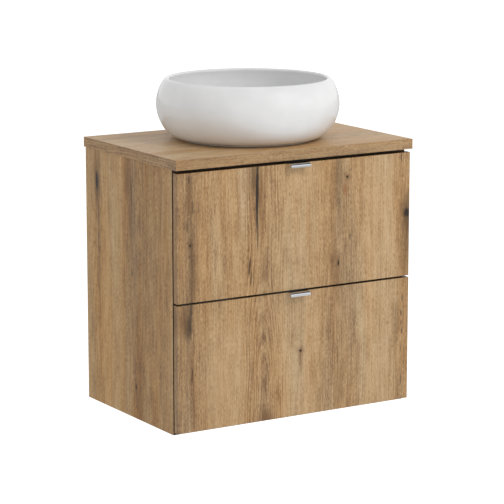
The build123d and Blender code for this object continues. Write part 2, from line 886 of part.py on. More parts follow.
with BuildPart() as waste_nut:
    with BuildSketch(Plane.XY.offset(nut_top - waste_nut_height)):
        with Locations((0, bowl_y)):
            RegularPolygon(waste_nut_radius, 6)
            Circle(thread_radius, mode=Mode.SUBTRACT)
    extrude(amount=waste_nut_height)
save(waste_nut, "waste_nut")


# ---------------------------------------------------------------- trap

# A bottle trap: the inlet tube dips into the water in the cup, and the outlet runs to the wall.
tube_bore = pipe_radius - pipe_wall
socket_bore = pipe_radius + slip_fit
dip_end = outlet_level - dip_below
coupling_low = waste_end - collar_height - coupling_lip

with BuildPart() as coupling_nut:
    turned(
        [
            (socket_bore, coupling_low),
            (thread_radius + coupling_wall, coupling_low),
            (thread_radius + coupling_wall, coupling_low + coupling_height),
            (thread_radius, coupling_low + coupling_height),
            (thread_radius, coupling_low + coupling_lip),
            (socket_bore, coupling_low + coupling_lip),
        ]
    )
save(coupling_nut, "trap_coupling_nut")

with BuildPart() as inlet_tube:
    turned(
        [
            (tube_bore, dip_end),
            (pipe_radius, dip_end),
            (pipe_radius, waste_end - collar_height),
            (thread_radius - slip_fit, waste_end - collar_height),
            (thread_radius - slip_fit, waste_end),
            (tube_bore, waste_end),
        ]
    )
save(inlet_tube, "trap_inlet_tube")

socket_top = trap_top + socket_rise
outlet_socket_end = bowl_y + trap_radius + socket_rise
with BuildPart() as trap_body:
    rod((0, bowl_y, trap_bottom), (0, 0, 1), trap_radius, trap_top - trap_bottom)
    rod((0, bowl_y, trap_top), (0, 0, 1), socket_radius, socket_rise)
    rod((0, bowl_y, outlet_level), (0, 1, 0), socket_radius, outlet_socket_end - bowl_y)
    drill((0, bowl_y, trap_bottom), (0, 0, 1), trap_radius - trap_wall, trap_top - trap_wall - trap_bottom)
    drill((0, bowl_y, trap_bottom), (0, 0, 1), socket_bore, socket_top - trap_bottom)
    drill((0, bowl_y, outlet_level), (0, 1, 0), socket_bore, outlet_socket_end - bowl_y)
save(trap_body, "trap_body")

cup_top = trap_bottom + cup_overlap
cup_bottom = cup_top - cup_height
cup_floor = cup_bottom + cup_base
trap_inside = trap_radius - trap_wall
with BuildPart() as trap_cup:
    turned(
        [
            (0, cup_bottom),
            (cup_radius - cup_bevel, cup_bottom),
            (cup_radius, cup_bottom + cup_bevel),
            (cup_radius, cup_top),
            (trap_radius, cup_top),
            (trap_radius, trap_bottom),
            (trap_inside, trap_bottom),
            (trap_inside, cup_floor + cup_bevel),
            (trap_inside - cup_bevel, cup_floor),
            (0, cup_floor),
        ]
    )
save(trap_cup, "trap_cup")


def compression_nut(end, way):
    """Add a round grip nut over the end of a trap socket, its lip just past the socket's end."""
    back = [c - d * (nut_height - nut_lip) for c, d in zip(end, way)]
    rod(back, way, nut_radius, nut_height)
    drill(back, way, socket_radius, nut_height - nut_lip)
    drill(back, way, socket_bore, nut_height)


with BuildPart() as trap_nuts:
    compression_nut((0, bowl_y, socket_top), (0, 0, 1))
    compression_nut((0, outlet_socket_end, outlet_level), (0, 1, 0))
save(trap_nuts, "trap_nuts")

outlet_start = bowl_y + trap_radius + outlet_start_gap
with BuildPart() as outlet_pipe:
    rod((0, outlet_start, outlet_level), (0, 1, 0), pipe_radius, outlet_into_wall - outlet_start)
    drill((0, outlet_start, outlet_level), (0, 1, 0), tube_bore, outlet_into_wall - outlet_start)
save(outlet_pipe, "outlet_pipe")

with BuildPart() as rosette:
    with BuildSketch(Plane(origin=(0, 0, outlet_level))):
        with BuildLine():
            Polyline(
                (socket_bore, -rosette_depth),
                (socket_bore + rosette_skin, -rosette_depth),
                (rosette_radius, -rosette_skin),
                (rosette_radius, 0),
                (rosette_radius - rosette_skin, 0),
                (socket_bore, -rosette_depth + rosette_skin),
                close=True,
            )
        make_face()
    revolve(axis=Axis((0, 0, outlet_level), (0, 1, 0)))
save(rosette, "wall_rosette")
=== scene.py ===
"""Looks of a wall-hung vanity: oak-decor cabinet with two drawers and a white vessel basin."""

import math

import bpy
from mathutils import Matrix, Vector


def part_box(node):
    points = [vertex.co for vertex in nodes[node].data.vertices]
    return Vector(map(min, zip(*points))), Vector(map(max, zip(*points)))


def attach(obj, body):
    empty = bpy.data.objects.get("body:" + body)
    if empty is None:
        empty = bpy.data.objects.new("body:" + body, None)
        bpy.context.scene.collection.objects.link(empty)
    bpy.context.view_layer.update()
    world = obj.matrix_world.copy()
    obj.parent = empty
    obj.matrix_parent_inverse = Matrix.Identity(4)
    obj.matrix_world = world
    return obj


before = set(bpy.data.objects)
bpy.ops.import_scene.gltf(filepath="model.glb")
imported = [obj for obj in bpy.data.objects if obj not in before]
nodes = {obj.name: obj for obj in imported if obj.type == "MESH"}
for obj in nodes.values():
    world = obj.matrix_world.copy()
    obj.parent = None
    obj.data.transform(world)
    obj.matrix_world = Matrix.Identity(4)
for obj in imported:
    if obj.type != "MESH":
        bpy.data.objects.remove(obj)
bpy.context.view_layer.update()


# ---- Side panels ---------------------------------------------------------------------------
# Two 16 mm particle boards faced with melamine paper that is printed as rustic oak, grain upright.
# Cut on a panel saw, drilled for the cams, and banded on all four edges with the same decor. The
# front edge is painted dark as shade, so that the gap beside the drawer fronts reads as a shadow
# line.

X, Y, Z = 0, 1, 2
MILLIMETRES = 1000  # object coordinates are metres, and every pattern is sized in millimetres


def linear(colour):
    """Turn an sRGB hex colour into linear RGBA."""
    channels = [int(colour[i : i + 2], 16) / 255 for i in (1, 3, 5)]
    return [c / 12.92 if c <= 0.04045 else ((c + 0.055) / 1.055) ** 2.4 for c in channels] + [1]


def add(tree, kind, sockets=None, out=0, stops=None, **settings):
    """Add a node with its settings, feed its inputs and give back one of its outputs."""
    made = tree.nodes.new("ShaderNode" + kind)
    for setting, value in settings.items():
        setattr(made, setting, value)
    for socket, source in (sockets or {}).items():
        if isinstance(source, bpy.types.NodeSocket):
            tree.links.new(source, made.inputs[socket])
        else:
            made.inputs[socket].default_value = source
    if stops:
        ramp = made.color_ramp
        while len(ramp.elements) < len(stops):
            ramp.elements.new(1)
        for element, (place, colour) in zip(ramp.elements, stops):
            element.position = place
            element.color = colour
    return made.outputs[out]


def new_material(name, **surface):
    """Start a material and set what is the same all over on its shader."""
    material = bpy.data.materials.new(name)
    material.use_nodes = True
    shader = material.node_tree.nodes["Principled BSDF"]
    for socket, value in surface.items():
        shader.inputs[socket.replace("_", " ")].default_value = value
    return material, material.node_tree, shader


def put_on(material, *names):
    """Give a material to CAD nodes."""
    for name in names:
        for slot in nodes[name].material_slots:
            slot.material = material


OAK_DEEP = "#664B33"
OAK_BROWN = "#926F4A"
OAK_MIDDLE = "#AD895E"
OAK_PALE = "#C19F74"
OAK_LIGHT = "#CDAE88"
KNOT_BLACK = "#20170E"
STAIN_BROWN = "#704C26"
SMOKE = "#5A4326"
WAVE_MM = (110, 300)  # slow wander of the grain, across and along
BROAD_MM = (44, 520)
STREAK_MM = (11, 240)
FIBRE_MM = (3.6, 90)  # real fibres are finer, drawn as coarse as it takes to show
FLECK_MM = (2.4, 8)
CLOUD_MM = (20, 48)
PORE_MM = (2.2, 21)  # open pores of oak, drawn about twice as wide as real ones
PORE_DEPTH = 0.0002
RING_MM = 5.2  # growth rings, about twice as wide as real ones so that they show
RING_BEND_MM = (44, 280)
RING_SHAKE_MM = (7, 60)
RING_GAP_MM = (14, 70)  # where rings fade out and come back
WARMTH_MM = (50, 600)  # slow drift from yellower to redder boards
KNOT_PUSH_MM = 18.0  # how far the rings part round a knot
KNOT_PULL = (5, 9)  # how many times its own size a knot bends them, across and along
KNOT_HALO = (3.2, 4)  # and how far its brown halo reaches
STAIN_EDGE_MM = (4, 26)
HEART_SPAN_MM = 2000  # a ramp's colour holds 0 to 1, so hearts and depths go in as shares of these
DEPTH_SPAN_MM = 200
ARCHED_ALL_OVER = 1000
SQUARE_ON = 0.7  # how squarely a face has to point along an axis to be an end or an edge


def oak_decor(
    name,
    along,
    across,
    face,
    tones,
    hearts,
    knots,
    stains,
    seed,
    arched_below=ARCHED_ALL_OVER,
    painted_edge_shade=(0.1, 0.1),
    vivid=1.0,
):
    """Oak decor with its grain along one axis and its boards side by side across it.

    Everything is in millimetres, and face is where the visible face lies on the third axis.
    tones are (place, tone) across the grain. hearts are (start, heart, depth, lean, show) of the
    boards that the decor is printed from: where the tree's heart lies, how far under the face,
    how fast it comes up, and how strongly its growth rings show.
    knots are (across, along, half width, half length), and stains and cracks are (across, along,
    half width, half length, tilt, strength, colour). Above arched_below the rings run straight.
    painted_edge_shade is how much painted shade darkens the edges: both ends across the grain, and
    the front or left edge along it. vivid is how strong the printed colour is.
    """
    material, tree, shader = new_material(name)
    place = add(
        tree,
        "VectorMath",
        {0: add(tree, "TexCoord", out="Object"), "Scale": MILLIMETRES},
        operation="SCALE",
    )
    axes = add(tree, "SeparateXYZ", {0: place}).node.outputs
    normal = add(tree, "SeparateXYZ", {0: add(tree, "NewGeometry", out="Normal")}).node.outputs
    depth = add(tree, "Math", {0: axes[3 - along - across], 1: face}, operation="SUBTRACT")
    sideways = add(tree, "Math", {0: axes[across], 1: depth}, operation="ADD")
    on_end = add(tree, "Math", {0: normal[along]}, operation="ABSOLUTE")
    on_end = add(tree, "Math", {0: on_end, 1: SQUARE_ON}, operation="GREATER_THAN")
    on_edge = add(tree, "Math", {0: normal[across], 1: -SQUARE_ON}, operation="LESS_THAN")
    plan = add(
        tree,
        "Mix",
        {
            0: on_end,
            4: add(tree, "CombineXYZ", {0: sideways, 1: axes[along], 2: seed}),
            5: add(tree, "CombineXYZ", {0: depth, 1: axes[across], 2: seed + 5}),
        },
        out=1,
        data_type="VECTOR",
    )

    def grain(vector, size, detail=2.0):
        """Uneven figure that is size millimetres, across the grain and along it."""
        per_mm = (1 / size[0], 1 / size[1], 1)
        scaled = add(tree, "VectorMath", {0: vector, 1: per_mm}, operation="MULTIPLY")
        return add(tree, "TexNoise", {"Vector": scaled, "Scale": 1, "Detail": detail})

    def layered(value, *terms):
        """Add to value each (term, factor, offset) as term * factor + offset."""
        for term, factor, offset in terms:
            swing = add(tree, "Math", {0: term, 1: factor, 2: offset}, operation="MULTIPLY_ADD")
            value = add(tree, "Math", {0: value, 1: swing}, operation="ADD")
        return value

    def from_mark(middle, halves, tilt=0.0):
        """Distance from the middle of an oval mark, 1 at its edge."""
        mapped = add(
            tree,
            "Mapping",
            {0: plan, 1: (*middle, seed), 2: (0, 0, -tilt), 3: (*halves, 1)},
            vector_type="TEXTURE",
        )
        return add(tree, "VectorMath", {0: mapped}, out="Value", operation="LENGTH")

    flat = add(tree, "SeparateXYZ", {0: plan}).node.outputs
    wavy = layered(flat[0], (grain(plan, WAVE_MM), 16, -8))
    bent = add(tree, "CombineXYZ", {0: wavy, 1: flat[1], 2: flat[2]})

    low, span = tones[0][0], tones[-1][0] - tones[0][0]
    share = add(tree, "Math", {0: flat[0], 1: 1 / span, 2: -low / span}, operation="MULTIPLY_ADD")
    tone = add(
        tree,
        "ValToRGB",
        {0: share},
        stops=[((at - low) / span, [0.5 + shade] * 3 + [1]) for at, shade in tones],
    )
    boards = add(
        tree,
        "ValToRGB",
        {0: share},
        stops=[
            (
                (start - low) / span,
                (0.5 + heart / HEART_SPAN_MM, under / DEPTH_SPAN_MM, lean, show),
            )
            for start, heart, under, lean, show in hearts
        ],
    )
    boards.node.color_ramp.interpolation = "CONSTANT"
    heart, under, lean = add(tree, "SeparateColor", {0: boards}).node.outputs[:3]
    heart_mm = add(
        tree,
        "Math",
        {0: heart, 1: HEART_SPAN_MM, 2: -HEART_SPAN_MM / 2},
        operation="MULTIPLY_ADD",
    )
    off_heart = add(tree, "Math", {0: wavy, 1: heart_mm}, operation="SUBTRACT")
    under_mm = add(tree, "Math", {0: under, 1: DEPTH_SPAN_MM}, operation="MULTIPLY")
    climb = add(tree, "Math", {0: flat[1], 1: arched_below}, operation="MINIMUM")
    rise = add(tree, "Math", {0: climb, 1: lean, 2: under_mm}, operation="MULTIPLY_ADD")
    cut = add(tree, "CombineXYZ", {0: off_heart, 1: rise})
    radius = add(tree, "VectorMath", {0: cut}, out="Value", operation="LENGTH")
    radius = layered(
        radius, (grain(plan, RING_BEND_MM), 14, 0), (grain(plan, RING_SHAKE_MM), 3, 0)
    )
    for *middle, half_width, half_length in knots:
        near = from_mark(middle, (KNOT_PULL[0] * half_width, KNOT_PULL[1] * half_length))
        swell = add(
            tree,
            "MapRange",
            {0: near, 1: 1.0, 2: 0.0, 3: 0.0, 4: KNOT_PUSH_MM},
            interpolation_type="SMOOTHSTEP",
        )
        radius = add(tree, "Math", {0: radius, 1: swell}, operation="ADD")
    turns = add(tree, "Math", {0: radius, 1: 2 * math.pi / RING_MM}, operation="MULTIPLY")
    rings = add(tree, "Math", {0: turns}, operation="SINE")
    late = add(tree, "MapRange", {0: rings, 1: -0.3, 2: 1.0, 3: 0.0, 4: 1.0})
    late = add(tree, "Math", {0: late, 1: boards.node.outputs["Alpha"]}, operation="MULTIPLY")
    breaks = grain(plan, RING_GAP_MM)
    breaks = add(tree, "MapRange", {0: breaks, 1: 0.35, 2: 0.6, 3: 0.3, 4: 1.0})
    late = add(tree, "Math", {0: late, 1: breaks}, operation="MULTIPLY")

    fibre = grain(bent, FIBRE_MM, 3.0)
    pore = add(tree, "MapRange", {0: grain(bent, PORE_MM), 1: 0.6, 2: 0.72, 3: 0.0, 4: 1.0})
    # A pattern lies round a half, so half of its factor is taken off again.
    figure = layered(
        tone,
        (grain(bent, BROAD_MM), 0.42, -0.21),
        (grain(bent, STREAK_MM, 3.0), 0.4, -0.2),
        (fibre, 0.72, -0.36),
        (grain(plan, FLECK_MM), 0.8, -0.4),
        (grain(plan, CLOUD_MM, 3.0), 0.4, -0.2),
        (late, -0.33, 0.02),
        # painted shade: the ends across the grain are darker
        (on_end, -0.21, 0),
        (pore, -0.2, 0.02),
    )
    wood = add(
        tree,
        "ValToRGB",
        {0: figure},
        stops=[
            (0.0, linear(OAK_DEEP)),
            (0.28, linear(OAK_BROWN)),
            (0.5, linear(OAK_MIDDLE)),
            (0.72, linear(OAK_PALE)),
            (1.0, linear(OAK_LIGHT)),
        ],
    )
    warm = grain(bent, WARMTH_MM)
    rich = add(tree, "MapRange", {0: warm, 1: 0.3, 2: 0.7, 3: 0.92 * vivid, 4: 1.13 * vivid})
    hue = add(tree, "MapRange", {0: warm, 1: 0.3, 2: 0.7, 3: 0.506, 4: 0.496})
    colour = add(tree, "HueSaturation", {"Hue": hue, "Saturation": rich, "Color": wood})
    # painted shade: the ends and the front or left edge are mixed towards black
    edge_shade_amount = add(tree, "Math", {0: on_end, 1: painted_edge_shade[0]}, operation="MULTIPLY")
    edge_shade_amount = add(tree, "Math", {0: on_edge, 1: painted_edge_shade[1], 2: edge_shade_amount}, operation="MULTIPLY_ADD")
    edge_shade_colour = linear(KNOT_BLACK)
    colour = add(tree, "Mix", {0: edge_shade_amount, 6: colour, 7: edge_shade_colour}, out=2, data_type="RGBA")

    edge = grain(plan, STAIN_EDGE_MM, 3.0)
    halos = [
        (*middle, KNOT_HALO[0] * half_width, KNOT_HALO[1] * half_length, 0, 0.6, STAIN_BROWN)
        for *middle, half_width, half_length in knots
    ]
    cores = [(*knot, 0, 0.95, KNOT_BLACK) for knot in knots]
    for *middle, half_width, half_length, tilt, strength, dye in halos + stains + cores:
        distance = from_mark(middle, (half_width, half_length), tilt)
        fray, solid = (0.5, 0.45) if dye == KNOT_BLACK else (0.9, 0.0)  # black marks are crisp
        ragged = layered(distance, (edge, fray, -fray / 2))
        amount = add(
            tree,
            "MapRange",
            {0: ragged, 1: 1.1, 2: solid, 3: 0.0, 4: strength},
            interpolation_type="SMOOTHSTEP",
        )
        colour = add(tree, "Mix", {0: amount, 6: colour, 7: linear(dye)}, out=2, data_type="RGBA")
    tree.links.new(colour, shader.inputs["Base Color"])

    roughness = add(tree, "MapRange", {0: fibre, 1: 0.3, 2: 0.7, 3: 0.42, 4: 0.54})
    tree.links.new(roughness, shader.inputs["Roughness"])
    height = layered(fibre, (pore, -0.8, 0), (late, -0.1, 0))
    bump = add(tree, "Bump", {"Strength": 0.35, "Distance": PORE_DEPTH, "Height": height})
    tree.links.new(bump, shader.inputs["Normal"])
    return material


def face_mm(node, axis, end):
    """Place of a node's lowest or highest face on an axis, in millimetres."""
    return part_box(node)[end][axis] * MILLIMETRES


side_tones = [
    (-400, 0.0),
    (-300, -0.1),
    (-215, -0.15),
    (-160, 0.06),
    (-95, 0.12),
    (-60, -0.04),
    (-35, 0.02),
    (0, 0.1),
    (20, 0.1),
]
side_hearts = [
    (-400, -700, 20, 0.03, 0.3),
    (-262, -240, 20, 0.09, 0.5),
    (-172, 500, 20, 0.03, 0.25),
    (-78, -52, 40, 0.05, 0.5),
    (-24, 300, 20, 0.03, 0.3),
]
side_knots = [(-52, -7, 7.5, 25), (-223, -439, 3.6, 7.5)]
side_stains = [
    (-55, -15, 19, 52, 0, 0.6, SMOKE),
    (-59, -90, 3.6, 66, 0, 0.75, SMOKE),
    (-58, -133, 4, 20, 0, 0.6, SMOKE),
    (-57, -190, 13, 160, 0, 0.5, STAIN_BROWN),
    (-190, 20, 22, 80, 0, 0.6, STAIN_BROWN),
    (-209, -10, 3, 40, 0, 0.8, KNOT_BLACK),
    (-206, -60, 17, 150, 0, 0.45, STAIN_BROWN),
    (-209, -188, 2.8, 10, 0, 0.7, KNOT_BLACK),
    (-232, -330, 18, 130, 0, 0.3, STAIN_BROWN),
    (-240, -480, 24, 60, 0, 0.4, STAIN_BROWN),
]
for node, end in (("side_panel_left", 0), ("side_panel_right", 1)):
    panel_oak = oak_decor(
        "oak_decor_" + node,
        along=Z,
        across=Y,
        face=face_mm(node, X, end),
        tones=side_tones,
        hearts=side_hearts,
        knots=side_knots,
        stains=side_stains,
        seed=3 + 4 * end,
        # painted shade: the front edge is darkened nearly to black
        painted_edge_shade=(0.1, 0.85),
        vivid=1.05,
    )
    put_on(panel_oak, node)


# ---- Bottom panel and rails ----------------------------------------------------------------
# The same faced board, with its grain running from side to side, as offcuts are cut for rails.
# Both rear rails stand on edge. The front rail lies flat under the worktop, and its front edge is
# painted black as shade, so that the slot above the upper drawer reads as a shadow line.

for node, across, end in (
    ("bottom_panel", Y, 0),
    ("top_front_rail", Y, 0),
    ("rear_rail_top", Z, 0),
    ("rear_rail_bottom", Z, 0),
):
    low, high = (face_mm(node, across, i) for i in (0, 1))
    start, middle = low - 20, (low + high) / 2
    # painted shade: a black strip along the front rail's front edge
    painted_shade_strip = [(low + 6, 0, 16, 4000, 0, 0.95, KNOT_BLACK)]
    rail_oak = oak_decor(
        "oak_decor_" + node,
        along=X,
        across=across,
        face=face_mm(node, 3 - X - across, end),
        tones=[(start, 0.0), (middle, 0.06), (high + 20, -0.04)],
        hearts=[(start, low - 500, 20, 0.02, 0.3), (middle, high + 600, 20, 0.03, 0.3)],
        knots=[],
        stains=painted_shade_strip if node == "top_front_rail" else [],
        seed=11 + across,
    )
    put_on(rail_oak, node)


# ---- Cam fittings --------------------------------------------------------------------------
# Cam housings are die-cast zinc and the bolts are turned steel, both bright zinc plated.
# Casting leaves a slightly pebbled skin, and plating a faint uneven haze.

ZINC_DULL = "#A4A8AD"
ZINC_BRIGHT = "#B9BCC0"
HAZE_MM = 9


def plated_zinc(name, pebble_mm, depth):
    """Bright zinc plate over a pebbled skin, with the pebbles' depth in metres."""
    material, tree, shader = new_material(name, Metallic=1.0)
    place = add(tree, "TexCoord", out="Object")
    cloud = add(tree, "TexNoise", {"Vector": place, "Scale": MILLIMETRES / HAZE_MM, "Detail": 3})
    pebble = add(tree, "TexNoise", {"Vector": place, "Scale": MILLIMETRES / pebble_mm, "Detail": 2})
    stops = [(0.3, linear(ZINC_DULL)), (0.7, linear(ZINC_BRIGHT))]
    colour = add(tree, "ValToRGB", {0: cloud}, stops=stops)
    tree.links.new(colour, shader.inputs["Base Color"])
    roughness = add(tree, "MapRange", {0: cloud, 1: 0.3, 2: 0.7, 3: 0.26, 4: 0.4})
    tree.links.new(roughness, shader.inputs["Roughness"])
    bump = add(tree, "Bump", {"Strength": 0.3, "Distance": depth, "Height": pebble})
    tree.links.new(bump, shader.inputs["Normal"])
    return material


cast_zinc = plated_zinc("zinc_plated_casting", pebble_mm=1.2, depth=0.0001)
put_on(cast_zinc, "cam_locks", "cam_bolts")


# ---- Wall plates, hangers and worktop brackets ---------------------------------------------
# Pressed and folded from steel strip, then zinc plated. The wall plates are screwed to the wall
# and the hangers on the upper rail hook over them.

pressed_zinc = plated_zinc("zinc_plated_strip", pebble_mm=0.5, depth=0.00004)
put_on(pressed_zinc, "wall_plates", "hangers", "counter_brackets")


# ---- Screws --------------------------------------------------------------------------------
# Zinc-plated chipboard screws with pan heads; the runners have flat wafer heads.

put_on(
    pressed_zinc,
    "counter_screws",
    "hanger_screws",
    "runner_screws",
    "upper_drawer_screws",
    "lower_drawer_screws",
)


# ---- Worktop -------------------------------------------------------------------------------
# A 22 mm board in the same decor, with its grain from side to side and banded edges. Screws
# through the front rail and through brackets at the back hold it from below.

worktop_tones = [
    (-440, -0.06),
    (-411, -0.03),
    (-404, 0.16),
    (-390, 0.25),
    (-300, 0.17),
    (-240, 0.27),
    (-120, 0.26),
    (-60, 0.18),
    (-26, 0.2),
    (20, 0.14),
]
worktop_hearts = [
    (-440, -1000, 20, 0.01, 0.3),
    (-330, -330, 30, 0.04, 0.6),
    (-250, 400, 20, 0.02, 0.3),
    (-90, -60, 35, 0.04, 0.6),
]
worktop_stains = [
    (-60, -210, 14, 130, 0, 0.2, SMOKE),
    (-218, -248, 2.5, 9, 0, 0.7, KNOT_BLACK),
    (-385, -262, 9, 22, 0, 0.35, STAIN_BROWN),
    # front edge with painted light: lighter towards the right, darker towards the left
    (-421, 240, 14, 190, 0, 0.25, OAK_LIGHT),
    (-421, -230, 14, 150, 0, 0.3, OAK_BROWN),
]
worktop_oak = oak_decor(
    "oak_decor_worktop",
    along=X,
    across=Y,
    face=face_mm("countertop", Z, 1),
    tones=worktop_tones,
    hearts=worktop_hearts,
    knots=[],
    stains=worktop_stains,
    seed=23,
    vivid=0.98,
)
put_on(worktop_oak, "countertop")


# ---- Drawer runners ------------------------------------------------------------------------
# Full-extension ball runners, roll formed from cold-rolled strip and bright zinc plated.
# The rollers leave fine lines along each channel.

ROLL_LINES = (1400, 9, 1400)  # per metre: 0.7 mm apart and 110 mm long
ROLL_DEPTH = 0.00003
RUNNER_HAZE_MM = 30
material, tree, shader = new_material("zinc_plated_roll_formed_steel", Metallic=1.0)
place = add(tree, "TexCoord", out="Object")
stretched = add(tree, "Mapping", {"Vector": place, "Scale": ROLL_LINES})
lines = add(tree, "TexNoise", {"Vector": stretched, "Scale": 1, "Detail": 3})
cloud = add(
    tree, "TexNoise", {"Vector": place, "Scale": MILLIMETRES / RUNNER_HAZE_MM, "Detail": 2}
)
stops = [(0.2, linear("#9EA2A7")), (0.8, linear("#C4C7CA"))]
colour = add(tree, "ValToRGB", {0: lines}, stops=stops)
tree.links.new(colour, shader.inputs["Base Color"])
roughness = add(tree, "MapRange", {0: cloud, 1: 0.3, 2: 0.7, 3: 0.22, 4: 0.34})
tree.links.new(roughness, shader.inputs["Roughness"])
bump = add(tree, "Bump", {"Strength": 0.25, "Distance": ROLL_DEPTH, "Height": lines})
tree.links.new(bump, shader.inputs["Normal"])
for drawer in ("upper", "lower"):
    for member in ("outer", "middle", "inner"):
        for hand in ("left", "right"):
            put_on(material, f"{drawer}_runner_{member}_{hand}")


# ---- Drawer boxes --------------------------------------------------------------------------
# Particle board faced with a light grey linen decor, screwed together at the corners, with the
# bottom let into grooves. The print is a fine cross-hatch of threads with paler crossings.

LINEN_MM = 2.4  # thread spacing, wider than a real print so that it shows
LINEN_SCALE = MILLIMETRES / LINEN_MM * math.pi / 10  # the wave node repeats every pi / 10
LINEN_DEPTH = 0.00005
BOX_SHADE_MM = 60
material, tree, shader = new_material("grey_linen_laminate", Roughness=0.5)
place = add(tree, "TexCoord", out="Object")
threads = [
    add(
        tree,
        "TexWave",
        {"Vector": place, "Scale": LINEN_SCALE, "Distortion": 1.2, "Detail": 2},
        out="Fac",
        wave_type="BANDS",
        bands_direction=direction,
    )
    for direction in ("X", "Y", "Z")
]
weave = add(tree, "Math", {0: threads[0], 1: threads[2]}, operation="MULTIPLY")
weave = add(tree, "Math", {0: weave, 1: threads[1]}, operation="MAXIMUM")
cloud = add(tree, "TexNoise", {"Vector": place, "Scale": MILLIMETRES / BOX_SHADE_MM, "Detail": 3})
mixed = add(tree, "Math", {0: weave, 1: 0.35, 2: cloud}, operation="MULTIPLY_ADD")
stops = [(0.3, linear("#A6A5A1")), (0.9, linear("#B9B8B4"))]
colour = add(tree, "ValToRGB", {0: mixed}, stops=stops)
tree.links.new(colour, shader.inputs["Base Color"])
bump = add(tree, "Bump", {"Strength": 0.2, "Distance": LINEN_DEPTH, "Height": weave})
tree.links.new(bump, shader.inputs["Normal"])
for board in ("side_left", "side_right", "inner_front", "bottom"):
    put_on(material, "upper_drawer_" + board, "lower_drawer_" + board)
put_on(material, "upper_drawer_back_left", "upper_drawer_back_right", "lower_drawer_back")


# ---- Trap surround of the upper drawer -----------------------------------------------------
# Injection-moulded grey polypropylene, with the fine spark-eroded grain of its mould.

SPARK_MM = 0.9
SPARK_DEPTH = 0.00008
MOULD_FLOW_MM = 70
material, tree, shader = new_material("moulded_grey_polypropylene", Roughness=0.5)
place = add(tree, "TexCoord", out="Object")
sparks = add(tree, "TexNoise", {"Vector": place, "Scale": MILLIMETRES / SPARK_MM, "Detail": 3})
flow = add(tree, "TexNoise", {"Vector": place, "Scale": MILLIMETRES / MOULD_FLOW_MM, "Detail": 2})
stops = [(0.3, linear("#6A6B6D")), (0.7, linear("#737476"))]
colour = add(tree, "ValToRGB", {0: flow}, stops=stops)
tree.links.new(colour, shader.inputs["Base Color"])
bump = add(tree, "Bump", {"Strength": 0.3, "Distance": SPARK_DEPTH, "Height": sparks})
tree.links.new(bump, shader.inputs["Normal"])
put_on(material, "upper_drawer_trap_surround")


# ---- Drawer fronts -------------------------------------------------------------------------
# Both fronts are cut from one 16 mm panel, so the printed boards, knots and cracks run on
# from the upper front to the lower one. Banded on all edges and screwed on from inside.

front_tones = [
    (-320, -0.16),
    (-285, -0.17),
    (-262, -0.17),
    (-240, -0.02),
    (-185, 0.02),
    (-140, 0.08),
    (-108, -0.01),
    (-70, 0.01),
    (-42, 0.1),
    (0, 0.17),
    (30, 0.12),
    (60, 0.03),
    (85, -0.05),
    (115, 0.0),
    (140, -0.03),
    (168, 0.06),
    (190, 0.18),
    (235, 0.18),
    (262, 0.02),
    (320, -0.04),
]
front_hearts = [
    (-320, -600, 20, 0.03, 0.15),
    (-284, -264, 20, 0.03, 0.25),
    (-246, -420, 20, 0.05, 0.15),
    (-186, -900, 20, 0.04, 0.2),
    (-132, -86, 54, 0.11, 0.8),
    (-34, 500, 20, 0.03, 0.15),
    (79, 106, 38, 0.1, 0.4),
    (142, 700, 20, 0.03, 0.25),
    (219, 900, 20, 0.02, 0.3),
]
front_knots = [
    (-265, -99.5, 3, 3.6),
    (130, 13.5, 3.8, 4),
    (108.5, -175, 2.6, 8),
    (289, -80, 9.5, 12),
    (11, -359, 4.6, 3.6),
]
